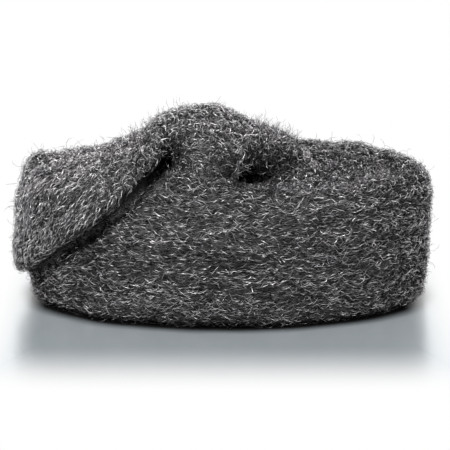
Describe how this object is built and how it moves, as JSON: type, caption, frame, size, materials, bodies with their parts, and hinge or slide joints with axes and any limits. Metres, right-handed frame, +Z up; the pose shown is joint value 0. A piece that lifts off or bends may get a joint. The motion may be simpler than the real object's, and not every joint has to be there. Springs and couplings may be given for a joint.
{
  "type": "steel wool pad",
  "caption": "Hand pad of steel wool: a ribbon wound into an oval roll, its tail folded over the rim, twisted into a hump and tucked into the middle.",
  "frame": {"origin": "under the middle of the oval roll, on the surface that the pad rests on", "axes": "+X along the pad's length, with the folded flap at the -X end; -Y is the front that the picture shows; +Z up, towards the hump"},
  "size_m": [0.0982, 0.0769, 0.0455],
  "materials": {
    "steel_wool": "fine loose steel fibres, dark grey in the mass with bright strands"
  },
  "bodies": {
    "root": {"wool_pad": "steel_wool"}
  },
  "joints": []
}
